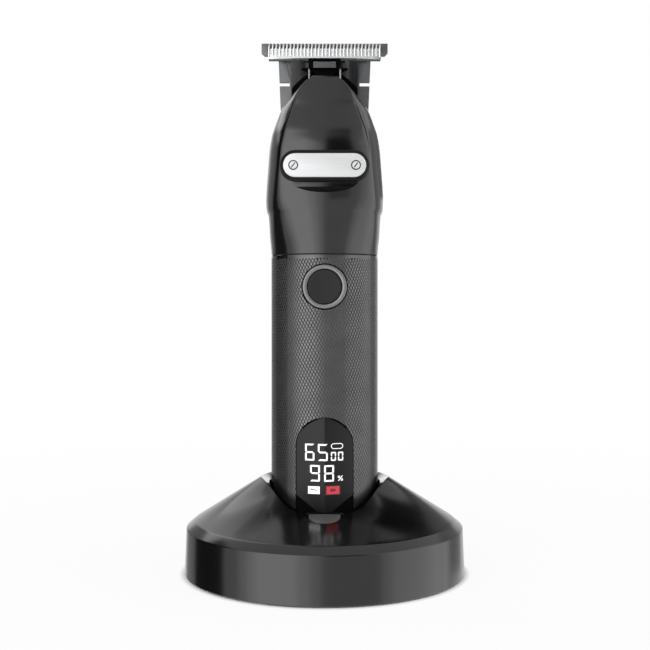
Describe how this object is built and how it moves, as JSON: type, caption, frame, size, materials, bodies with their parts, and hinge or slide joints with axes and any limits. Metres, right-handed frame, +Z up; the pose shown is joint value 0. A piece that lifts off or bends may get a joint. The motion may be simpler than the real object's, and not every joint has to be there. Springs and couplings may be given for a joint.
{
  "type": "hair clipper",
  "caption": "Cordless hair clipper with a wide T-shaped blade, knurled grip and number display, standing in a round weighted charging dock.",
  "frame": {"origin": "middle of the dock, on the surface it stands on", "axes": "+Z up along the grip, -Y towards the front with the button and display, +X to the right seen from the front"},
  "size_m": [0.0928, 0.0928, 0.1768],
  "materials": {
    "dock_black": "glossy, lightly moulded",
    "base_black": "fine moulded texture",
    "foot_rubber": "matte",
    "screw_steel": "bright",
    "ballast_iron": "plain",
    "board_green": "lacquered",
    "inlet_steel": "plated",
    "light_lens": "smoked, satin",
    "contact_brass": "gold plated",
    "grip_metal": "black anodised, fine diamond knurl",
    "inner_plastic": "moulded",
    "battery_blue": "shrink wrapped",
    "chip_black": "matte",
    "ring_grey": "satin, turned",
    "button_black": "matte",
    "lens_black": "polished",
    "display_panel": "lit digits behind the window",
    "head_black": "satin lacquer",
    "bezel_black": "satin",
    "plate_silver": "bright satin",
    "motor_steel": "plated",
    "magnet_grey": "sintered",
    "cam_white": "moulded nylon",
    "bush_bronze": "sintered",
    "winding_copper": "enamelled wire",
    "bracket_black": "moulded",
    "blade_steel": "ground, dark",
    "cutter_steel": "polished"
  },
  "bodies": {
    "dock": {"dock_shell": "dock_black", "dock_base_plate": "base_black", "dock_feet": "foot_rubber", "dock_screws": "screw_steel", "dock_ballast": "ballast_iron", "dock_circuit_board": "board_green", "power_inlet": "inlet_steel", "status_light": "light_lens", "status_light_board": "board_green", "well_cup": "base_black", "contact_barrels": "contact_brass"},
    "pin_left": {"contact_pin_left": "contact_brass"},
    "pin_right": {"contact_pin_right": "contact_brass"},
    "clipper": {"grip_sleeve": "grip_metal", "bottom_cap": "base_black", "cap_screws": "screw_steel", "charge_pads": "contact_brass", "chassis": "inner_plastic", "battery_cell": "battery_blue", "battery_tabs": "inlet_steel", "main_board": "board_green", "board_chips": "chip_black", "button_switch": "inlet_steel", "button_ring": "ring_grey", "display_lens": "lens_black", "display_module": "display_panel", "seam_ring": "foot_rubber", "head_collar": "inner_plastic", "head_front_shell": "head_black", "head_rear_shell": "head_black", "plate_bezel": "bezel_black", "name_plate": "plate_silver", "plate_screws": "screw_steel", "motor_can": "motor_steel", "motor_magnets": "magnet_grey", "motor_end_cap": "cam_white", "motor_bushes": "bush_bronze", "motor_mount": "motor_steel", "motor_screws": "screw_steel", "motor_brushes": "bush_bronze", "blade_bracket": "bracket_black", "fixed_blade": "blade_steel", "blade_screws": "screw_steel", "blade_spring": "inlet_steel", "spring_pins": "inlet_steel"},
    "button": {"power_button": "button_black"},
    "rotor": {"motor_shaft": "motor_steel", "motor_armature": "winding_copper", "motor_commutator": "winding_copper", "eccentric_cam": "cam_white"},
    "cutter": {"blade_carrier": "inner_plastic", "moving_blade": "cutter_steel", "carrier_rivets": "screw_steel"}
  },
  "joints": [
    {"name": "lift_out", "type": "slide", "parent": "dock", "child": "clipper", "axis": [0, 0, 1], "range_m": [0, 0.05]},
    {"name": "pin_left_press", "type": "slide", "parent": "dock", "child": "pin_left", "axis": [0, 0, 1], "range_m": [-0.0008, 0], "stiffness_N_per_m": 300},
    {"name": "pin_right_press", "type": "slide", "parent": "dock", "child": "pin_right", "axis": [0, 0, 1], "range_m": [-0.0008, 0], "stiffness_N_per_m": 300},
    {"name": "button_press", "type": "slide", "parent": "clipper", "child": "button", "axis": [0, 1, 0], "range_m": [0, 0.0006], "stiffness_N_per_m": 2000},
    {"name": "motor_turn", "type": "hinge", "parent": "clipper", "child": "rotor", "pos_m": [0, -0.002, 0.12], "axis": [0, 0, 1], "range_deg": [-90, 90]},
    {"name": "blade_stroke", "type": "slide", "parent": "clipper", "child": "cutter", "axis": [1, 0, 0], "range_m": [-0.0012, 0.0012]}
  ],
  "couplings": [
    {"joint": "blade_stroke", "follows": "motor_turn", "m_per_rad": 0.0007639}
  ]
}
